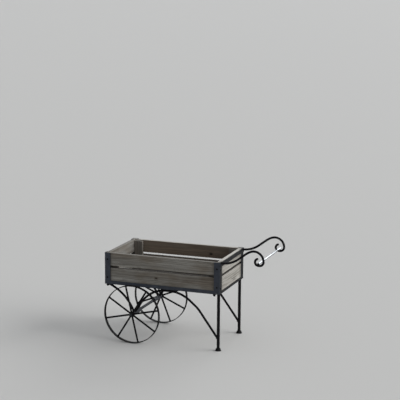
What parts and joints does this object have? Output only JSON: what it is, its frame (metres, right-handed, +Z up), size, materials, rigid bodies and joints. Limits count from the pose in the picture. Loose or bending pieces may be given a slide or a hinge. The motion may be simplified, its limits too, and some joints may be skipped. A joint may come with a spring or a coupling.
{
  "type": "garden cart",
  "caption": "Small two-wheeled garden cart: a slatted wooden box in a black iron frame with spoked wheels, arched braces, legs and scrolled handles joined by a grip bar.",
  "frame": {"origin": "on the ground, under the middle of the cart's bounding box", "axes": "+X towards the handles, +Z up, -Y the pusher's left"},
  "size_m": [0.8212, 0.4324, 0.5138],
  "materials": {
    "weathered_wood": "stained grey-brown, dry",
    "black_iron": "satin black powder coat",
    "grey_iron": "satin dark grey coat",
    "zinc_steel": "dull zinc plate",
    "polished_steel": "polished",
    "black_plastic": "moulded, matte",
    "black_rubber": "moulded, matte"
  },
  "bodies": {
    "cart": {"axle": "grey_iron", "axle_cap_nuts": "zinc_steel", "corner_screws": "black_iron", "floor_bearer": "black_iron", "floor_slat_1": "weathered_wood", "floor_slat_2": "weathered_wood", "floor_slat_3": "weathered_wood", "floor_slat_4": "weathered_wood", "floor_slat_5": "weathered_wood", "frame_bolts": "zinc_steel", "frame_dome_nuts": "black_iron", "grip_tube": "polished_steel", "handle_end_lower_plank": "weathered_wood", "handle_end_rail": "black_iron", "handle_end_upper_plank": "weathered_wood", "handle_strap": "black_iron", "inner_washers": "zinc_steel", "left_arch_brace": "black_iron", "left_arch_lugs": "black_iron", "left_axle_boss": "grey_iron", "left_foot": "black_rubber", "left_front_brace": "black_iron", "left_grip_plug": "black_plastic", "left_handle": "black_iron", "left_handle_end_corner_angle": "black_iron", "left_handle_end_post": "weathered_wood", "left_leg": "black_iron", "left_lower_plank": "weathered_wood", "left_side_rail": "black_iron", "left_upper_plank": "weathered_wood", "left_wheel_end_corner_angle": "black_iron", "left_wheel_end_post": "weathered_wood", "outer_washers": "zinc_steel", "right_arch_brace": "black_iron", "right_arch_lugs": "black_iron", "right_axle_boss": "grey_iron", "right_foot": "black_rubber", "right_front_brace": "black_iron", "right_grip_plug": "black_plastic", "right_handle": "black_iron", "right_handle_end_corner_angle": "black_iron", "right_handle_end_post": "weathered_wood", "right_leg": "black_iron", "right_lower_plank": "weathered_wood", "right_side_rail": "black_iron", "right_upper_plank": "weathered_wood", "right_wheel_end_corner_angle": "black_iron", "right_wheel_end_post": "weathered_wood", "wheel_end_lower_plank": "weathered_wood", "wheel_end_rail": "black_iron", "wheel_end_upper_plank": "weathered_wood"},
    "left_wheel": {"left_wheel_hub": "black_iron", "left_wheel_rim": "black_iron", "left_wheel_spokes": "black_iron"},
    "right_wheel": {"right_wheel_hub": "black_iron", "right_wheel_rim": "black_iron", "right_wheel_spokes": "black_iron"}
  },
  "joints": [
    {"name": "left_wheel_spin", "type": "hinge", "parent": "cart", "child": "left_wheel", "pos_m": [-0.2592, -0.192, 0.145], "axis": [0, 1, 0], "continuous": true},
    {"name": "right_wheel_spin", "type": "hinge", "parent": "cart", "child": "right_wheel", "pos_m": [-0.2592, 0.192, 0.145], "axis": [0, 1, 0], "continuous": true}
  ]
}
